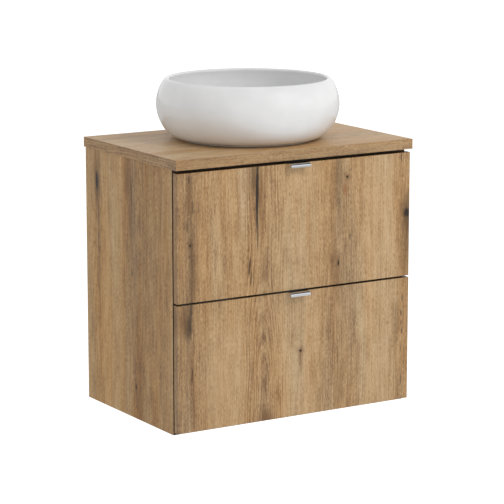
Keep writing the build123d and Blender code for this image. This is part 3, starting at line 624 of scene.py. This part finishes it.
front_stains = [
    # smoky streak down the left
    (-266, 0, 13, 90, 0, 0.5, STAIN_BROWN),
    (-261, -95, 11, 85, 0, 0.6, SMOKE),
    (-260, -180, 12, 90, 0, 0.55, SMOKE),
    (-267, 40, 2.2, 10, 0, 0.7, KNOT_BLACK),
    (-272, -58, 2, 16, 0, 0.6, KNOT_BLACK),
    (-258, -18, 2, 20, 0, 0.5, KNOT_BLACK),
    (-274, -250, 22, 76, 0, 0.45, SMOKE),
    (-276, -262, 16, 60, 0, 0.3, STAIN_BROWN),
    (-270, -280, 10, 30, 0, 0.45, KNOT_BLACK),
    (-265, -258, 4.5, 46, 0.03, 0.6, KNOT_BLACK),
    (-285, -262, 16, 50, 0, 0.35, STAIN_BROWN),
    (-263, -370, 9, 60, 0, 0.45, STAIN_BROWN),
    (-261, -378, 2.2, 20, 0.06, 0.6, KNOT_BLACK),
    # long crack with the smoke on its left and the brown on its right
    (-109, 34, 12, 60, 0, 0.75, SMOKE),
    (-91, 0, 9, 110, 0, 0.6, STAIN_BROWN),
    (-101, 6, 9, 96, 0.012, 0.6, STAIN_BROWN),
    (-100, 0, 4.6, 96, 0.012, 0.95, KNOT_BLACK),
    (-98.4, -84, 2.6, 56, 0, 0.7, KNOT_BLACK),
    (-119, -160, 2.6, 26, 0.1, 0.85, KNOT_BLACK),
    (-115, -186, 2, 20, 0.1, 0.75, KNOT_BLACK),
    (-87, -180, 22, 80, 0, 0.2, STAIN_BROWN),
    # heart of the lower front's flame
    (-80, -300, 13, 42, 0, 0.15, STAIN_BROWN),
    (-85, -375, 8, 36, 0, 0.3, STAIN_BROWN),
    (-84, -432, 11, 50, 0, 0.25, STAIN_BROWN),
    (-78, -500, 24, 46, 0, 0.8, STAIN_BROWN),
    (-44, -455, 6, 38, -0.15, 0.5, STAIN_BROWN),
    (-190, -400, 60, 150, 0, 0.35, OAK_LIGHT),
    # right-hand half
    (108, 30, 18, 90, 0, 0.35, SMOKE),
    (112, -60, 16, 110, 0, 0.25, SMOKE),
    (125, -14, 9, 20, 0, 0.7, "#8A5226"),
    (96, -166, 20, 50, 0, 0.45, STAIN_BROWN),
    (92, -166, 10, 13, 0, 0.5, STAIN_BROWN),
    (104, -210, 26, 40, 0, 0.4, STAIN_BROWN),
    (292, -85, 26, 70, 0, 0.75, SMOKE),
    (286, -165, 22, 110, 0, 0.5, SMOKE),
    (288, -80, 4, 5, 0, 0.5, "#7A6852"),
    (273, 44, 1.8, 14, -0.1, 0.75, KNOT_BLACK),
    (138, -119, 1.8, 10, 0, 0.6, KNOT_BLACK),
    (219, -200, 1.6, 300, 0, 0.3, STAIN_BROWN),
    (157, -190, 1.6, 160, 0, 0.3, STAIN_BROWN),
    (11, -376, 6, 44, 0, 0.6, STAIN_BROWN),
    (11, -332, 4, 36, 0, 0.35, STAIN_BROWN),
    (97, -332, 5, 48, 0, 0.45, STAIN_BROWN),
    (118, -350, 14, 130, 0, 0.12, SMOKE),
    (112, -460, 20, 60, 0, 0.35, STAIN_BROWN),
    (262, -325, 14, 66, 0, 0.35, SMOKE),
    (279, -272, 1.8, 13, 0, 0.8, KNOT_BLACK),
    (277, -305, 1.9, 10, 0, 0.85, KNOT_BLACK),
    (277, -328, 1.6, 9, 0, 0.7, KNOT_BLACK),
    (279, -347, 1.7, 10, 0, 0.7, KNOT_BLACK),
    (276, -384, 1.7, 16, 0, 0.6, KNOT_BLACK),
    (277, -458, 1.8, 20, 0, 0.75, KNOT_BLACK),
]
front_oak = oak_decor(
    "oak_decor_fronts",
    along=Z,
    across=X,
    face=face_mm("upper_drawer_front", Y, 0),
    tones=front_tones,
    hearts=front_hearts,
    knots=front_knots,
    stains=front_stains,
    seed=31,
    arched_below=-190,
    # painted shade: the top and bottom edges are darkened towards black
    painted_edge_shade=(0.7, 0.1),
    vivid=0.97,
)
put_on(front_oak, "upper_drawer_front", "lower_drawer_front")


# ---- Pulls ---------------------------------------------------------------------------------
# Bent from 1.5 mm steel strip and bright chrome plated, hooked over the top edge of each front
# and screwed on from behind. Polishing leaves hair-fine marks along the strip.

POLISH_HAIRS = (60, 2500, 2500)  # per metre: 0.4 mm apart and 17 mm long
HAIR_DEPTH = 0.00002
material, tree, shader = new_material(
    "polished_chrome", Base_Color=linear("#DCDEE0"), Metallic=1.0
)
place = add(tree, "TexCoord", out="Object")
brushed = add(tree, "Mapping", {"Vector": place, "Scale": POLISH_HAIRS})
hairs = add(tree, "TexNoise", {"Vector": brushed, "Scale": 1, "Detail": 3})
roughness = add(tree, "MapRange", {0: hairs, 1: 0.35, 2: 0.75, 3: 0.05, 4: 0.14})
tree.links.new(roughness, shader.inputs["Roughness"])
bump = add(tree, "Bump", {"Strength": 0.08, "Distance": HAIR_DEPTH, "Height": hairs})
tree.links.new(bump, shader.inputs["Normal"])
put_on(material, "upper_drawer_pull", "lower_drawer_pull")
put_on(material, "waste_body", "waste_plug", "wall_rosette", "outlet_pipe")


# ---- Basin ---------------------------------------------------------------------------------
# Slip-cast vitreous china, fired with a white gloss glaze. The glaze pulls a little on curves,
# so reflections swim very slightly, and it has a faint orange peel.

RIPPLE_MM = 38
RIPPLE_DEPTH = 0.0006
PEEL_MM = 4
PEEL_DEPTH = 0.00005
material, tree, shader = new_material("white_gloss_glaze")
place = add(tree, "TexCoord", out="Object")
ripple = add(tree, "TexNoise", {"Vector": place, "Scale": MILLIMETRES / RIPPLE_MM, "Detail": 2})
peel = add(tree, "TexNoise", {"Vector": place, "Scale": MILLIMETRES / PEEL_MM, "Detail": 1})
stops = [(0.3, linear("#E5E5E5")), (0.7, linear("#E9E9E9"))]
colour = add(tree, "ValToRGB", {0: ripple}, stops=stops)
tree.links.new(colour, shader.inputs["Base Color"])
roughness = add(tree, "MapRange", {0: peel, 1: 0.3, 2: 0.7, 3: 0.07, 4: 0.12})
tree.links.new(roughness, shader.inputs["Roughness"])
swim = add(tree, "Bump", {"Strength": 0.15, "Distance": RIPPLE_DEPTH, "Height": ripple})
peeled = {"Strength": 0.1, "Distance": PEEL_DEPTH, "Height": peel, "Normal": swim}
skin = add(tree, "Bump", peeled)
tree.links.new(skin, shader.inputs["Normal"])
put_on(material, "basin")


# ---- Basin seal and gaskets ----------------------------------------------------------------
# A bead of sanitary silicone under the foot ring, with a satin skin, its taupe darkened as painted
# shade for the contact shadow under the basin, and black EPDM washers under the flange and the nut,
# dulled by a grey bloom.

SILICONE_CLOUD_MM = 12
RUBBER_BLOOM_MM = 6
material, tree, shader = new_material("sanitary_silicone_with_painted_shade", Roughness=0.35)
place = add(tree, "TexCoord", out="Object")
cloud = add(
    tree, "TexNoise", {"Vector": place, "Scale": MILLIMETRES / SILICONE_CLOUD_MM, "Detail": 2}
)
# painted shade: the silicone is dark enough to read as the contact shadow under the basin
stops = [(0.3, linear("#6E6557")), (0.7, linear("#7D7465"))]
colour = add(tree, "ValToRGB", {0: cloud}, stops=stops)
tree.links.new(colour, shader.inputs["Base Color"])
put_on(material, "basin_seal")

material, tree, shader = new_material("black_epdm_rubber", Roughness=0.7)
place = add(tree, "TexCoord", out="Object")
bloom = add(
    tree, "TexNoise", {"Vector": place, "Scale": MILLIMETRES / RUBBER_BLOOM_MM, "Detail": 3}
)
stops = [(0.3, linear("#1E1E1F")), (0.75, linear("#303031"))]
colour = add(tree, "ValToRGB", {0: bloom}, stops=stops)
tree.links.new(colour, shader.inputs["Base Color"])
put_on(material, "waste_top_gasket", "waste_lower_gasket")


# ---- Waste nut -----------------------------------------------------------------------------
# Hot-pressed brass, left plain, with the dulled skin that it gets on the shelf.

TARNISH_MM = 8
material, tree, shader = new_material("pressed_brass", Metallic=1.0)
place = add(tree, "TexCoord", out="Object")
tarnish = add(tree, "TexNoise", {"Vector": place, "Scale": MILLIMETRES / TARNISH_MM, "Detail": 4})
stops = [(0.35, linear("#A8843F")), (0.7, linear("#C9A45A"))]
colour = add(tree, "ValToRGB", {0: tarnish}, stops=stops)
tree.links.new(colour, shader.inputs["Base Color"])
roughness = add(tree, "MapRange", {0: tarnish, 1: 0.3, 2: 0.7, 3: 0.42, 4: 0.26})
tree.links.new(roughness, shader.inputs["Roughness"])
put_on(material, "waste_nut")


# ---- Trap ----------------------------------------------------------------------------------
# Injection-moulded white polypropylene, with a satin skin, clouded where the melt flowed. Its
# nuts and its cup are turned by hand, so each has a ring of rounded grip ribs moulded on.

WHITE_FLOW_MM = 25
WHITE_SPARK_MM = 0.8
WHITE_SPARK_DEPTH = 0.00005
material, tree, shader = new_material("moulded_white_polypropylene", Roughness=0.38)
place = add(tree, "TexCoord", out="Object")
flow = add(tree, "TexNoise", {"Vector": place, "Scale": MILLIMETRES / WHITE_FLOW_MM, "Detail": 3})
sparks = add(
    tree, "TexNoise", {"Vector": place, "Scale": MILLIMETRES / WHITE_SPARK_MM, "Detail": 2}
)
stops = [(0.3, linear("#DEDDD8")), (0.7, linear("#E6E5E1"))]
colour = add(tree, "ValToRGB", {0: flow}, stops=stops)
tree.links.new(colour, shader.inputs["Base Color"])
bump = add(tree, "Bump", {"Strength": 0.15, "Distance": WHITE_SPARK_DEPTH, "Height": sparks})
tree.links.new(bump, shader.inputs["Normal"])
put_on(material, "waste_cartridge", "trap_coupling_nut", "trap_inlet_tube")
put_on(material, "trap_body", "trap_cup", "trap_nuts")

RIB_WIDTH = 0.0024
RIB_PROUD = 0.0009
RIB_SUNK = 0.0006  # into the nut's wall, as nut and ribs are one moulding
RIB_ROUND = 0.0004
NUT_HEIGHT = 0.022
NUT_RIB_LENGTH = 0.017
NUT_RIBS = 24
CUP_RIB_LENGTH = 0.032
CUP_RIBS = 30


def grip_ribs(name, middle, axis, radius, length, count):
    """A ring of rounded grip ribs round a nut or cup that turns on an axis."""
    outward = 3 - X - axis
    sides = [RIB_WIDTH, RIB_WIDTH, RIB_WIDTH]
    sides[axis] = length
    sides[outward] = RIB_PROUD + RIB_SUNK
    place = Vector(middle)
    place[outward] += radius + (RIB_PROUD - RIB_SUNK) / 2
    turn = [0, 0, 0]
    turn[axis] = 1
    bpy.ops.object.select_all(action="DESELECT")
    bpy.ops.mesh.primitive_cube_add(size=1, location=place, scale=sides)
    ribs = bpy.context.object
    ribs.name = name
    bpy.ops.object.transform_apply()
    bpy.ops.object.mode_set(mode="EDIT")
    bpy.ops.mesh.bevel(offset=RIB_ROUND, segments=2, affect="EDGES")
    bpy.ops.mesh.spin(
        steps=count - 1, dupli=True, angle=2 * math.pi * (1 - 1 / count), center=middle, axis=turn
    )
    bpy.ops.mesh.select_all(action="SELECT")
    bpy.ops.mesh.normals_make_consistent(inside=False)
    bpy.ops.object.mode_set(mode="OBJECT")
    ribs.data.materials.append(material)
    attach(ribs, "cabinet")


inlet_low, inlet_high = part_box("trap_inlet_tube")
outlet_low, outlet_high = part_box("outlet_pipe")
nuts_low, nuts_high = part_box("trap_nuts")
trap_x, trap_y = ((low + high) / 2 for low, high in zip(inlet_low[:2], inlet_high[:2]))
outlet_z = (outlet_low[Z] + outlet_high[Z]) / 2
nut_radius = (nuts_high[X] - nuts_low[X]) / 2
inlet_nut = (trap_x, trap_y, nuts_high[Z] - NUT_HEIGHT / 2)
outlet_nut = (trap_x, nuts_high[Y] - NUT_HEIGHT / 2, outlet_z)
grip_ribs("trap_inlet_nut_ribs", inlet_nut, Z, nut_radius, NUT_RIB_LENGTH, NUT_RIBS)
grip_ribs("trap_outlet_nut_ribs", outlet_nut, Y, nut_radius, NUT_RIB_LENGTH, NUT_RIBS)
for node, length, count in (
    ("trap_coupling_nut", NUT_RIB_LENGTH, NUT_RIBS),
    ("trap_cup", CUP_RIB_LENGTH, CUP_RIBS),
):
    low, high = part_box(node)
    ring_middle = (trap_x, trap_y, (low[Z] + high[Z]) / 2)
    grip_ribs(node + "_ribs", ring_middle, Z, (high[X] - low[X]) / 2, length, count)


# ---- Floor, light and camera ---------------------------------------------------------------
# A plain white studio: a pale floor well below the cabinet, white walls under a dimmer ceiling,
# and one soft box high in front on the right. Gloss and bright metal mirror white paper behind
# and beside the cabinet, a grey room in front of it, and a window in place of the soft box.

FLOOR_LEVEL = -0.78
FLOOR_HALF = 40
FLOOR_GLOW = 0.6  # lifts the floor to white in view, and sheds no light
WHITE = (1, 1, 1, 1)
material, tree, shader = new_material(
    "pale_floor",
    Base_Color=linear("#F2F2F1"),
    Roughness=0.9,
    Specular_IOR_Level=0.1,
    Emission_Color=WHITE,
)
seen = add(tree, "LightPath", out="Is Camera Ray")
glow = add(tree, "Math", {0: seen, 1: FLOOR_GLOW}, operation="MULTIPLY")
tree.links.new(glow, shader.inputs["Emission Strength"])
bpy.ops.object.select_all(action="DESELECT")
bpy.ops.mesh.primitive_plane_add(size=2 * FLOOR_HALF, location=(0, 0, FLOOR_LEVEL))
floor = bpy.context.object
floor.name = "studio_floor"
floor.data.materials.append(material)

KEY_WAY = (0.24, -0.67, 0.65)  # from the cabinet to the soft box
KEY_DISTANCE = 3.4
KEY_SIZE = 1.1
KEY_POWER = 35.5
WALLS = 1.0  # strength of the white room near the horizon
CEILING = 0.55
DARK_CEILING = 0.06  # what gloss and bright metal mirror from above, in front of the cabinet
GREY_WALL = 0.4  # what they mirror from the open side of the white paper
WINDOW = 1.1  # and what they mirror in place of the soft box
WINDOW_RISE = 0.42  # lower than the soft box, so that it shows on the basin's belly
world = bpy.data.worlds.new("white_studio")
world.use_nodes = True
tree = world.node_tree
rays = add(tree, "LightPath").node.outputs
direction = add(tree, "TexCoord", out="Generated")
way = add(tree, "SeparateXYZ", {0: direction}).node.outputs
plain_room = add(tree, "MapRange", {0: way["Z"], 1: 0.1, 2: 0.8, 3: WALLS, 4: CEILING})
behind = add(tree, "MapRange", {0: way["Y"], 1: 0.52, 2: 0.56, 3: 0.0, 4: 1.0})
beside = add(tree, "MapRange", {0: way["X"], 1: 0.2, 2: 0.7, 3: 0.0, 4: 1.0})
paper = add(tree, "Math", {0: behind, 1: beside}, operation="MAXIMUM")
around = add(tree, "MapRange", {0: paper, 1: 0.0, 2: 1.0, 3: GREY_WALL, 4: WALLS})
above = add(tree, "MapRange", {0: way["Y"], 1: -0.2, 2: 0.2, 3: DARK_CEILING, 4: CEILING})
mirrored = add(tree, "MapRange", {0: way["Z"], 1: 0.25, 2: 0.62, 3: around, 4: above})
to_window = Vector((KEY_WAY[X], KEY_WAY[Y], WINDOW_RISE)).normalized()
near_window = add(
    tree, "VectorMath", {0: direction, 1: to_window}, out="Value", operation="DOT_PRODUCT"
)
window = add(
    tree,
    "MapRange",
    {0: near_window, 1: 0.925, 2: 0.955, 3: 0.0, 4: 1.0},
    interpolation_type="SMOOTHSTEP",
)
mirrored = add(tree, "Mix", {0: window, 2: mirrored, 3: WINDOW})
room = add(tree, "Mix", {0: rays["Is Glossy Ray"], 2: plain_room, 3: mirrored})
in_view = {0: rays["Is Camera Ray"], 1: rays["Is Transmission Ray"]}
in_view = add(tree, "Math", in_view, operation="MAXIMUM")
strength = add(tree, "Mix", {0: in_view, 2: room, 3: 1.0})
tree.links.new(strength, tree.nodes["Background"].inputs["Strength"])
tree.nodes["Background"].inputs["Color"].default_value = WHITE
bpy.context.scene.world = world

AIM = Vector((0.0, -0.223, -0.170))  # the middle of the view
soft_box = bpy.data.objects.new("key_soft_box", bpy.data.lights.new("key_soft_box", "AREA"))
soft_box.data.size = KEY_SIZE
soft_box.data.energy = KEY_POWER
soft_box.visible_glossy = False  # the window stands in for it in mirrors
bpy.context.scene.collection.objects.link(soft_box)
to_key = Vector(KEY_WAY).normalized()
soft_box.location = AIM + to_key * KEY_DISTANCE
soft_box.rotation_euler = to_key.to_track_quat("Z", "Y").to_euler()

CAMERA_TURN = math.radians(31.66)
CAMERA_DROP = math.radians(11.04)
CAMERA_DISTANCE = 5.231
CAMERA_LENS = 168.33  # millimetres, on a sensor of the next width
CAMERA_SENSOR = 36
camera = bpy.data.objects.new("camera", bpy.data.cameras.new("camera"))
bpy.context.scene.collection.objects.link(camera)
look = Vector(
    (
        math.sin(CAMERA_TURN) * math.cos(CAMERA_DROP),
        math.cos(CAMERA_TURN) * math.cos(CAMERA_DROP),
        -math.sin(CAMERA_DROP),
    )
)
camera.location = AIM - look * CAMERA_DISTANCE
camera.rotation_euler = look.to_track_quat("-Z", "Y").to_euler()
camera.data.sensor_width = CAMERA_SENSOR
camera.data.lens = CAMERA_LENS
camera.data.clip_end = 5 * FLOOR_HALF  # past the floor's far corner
bpy.context.scene.camera = camera
bpy.context.scene.view_settings.view_transform = "Standard"
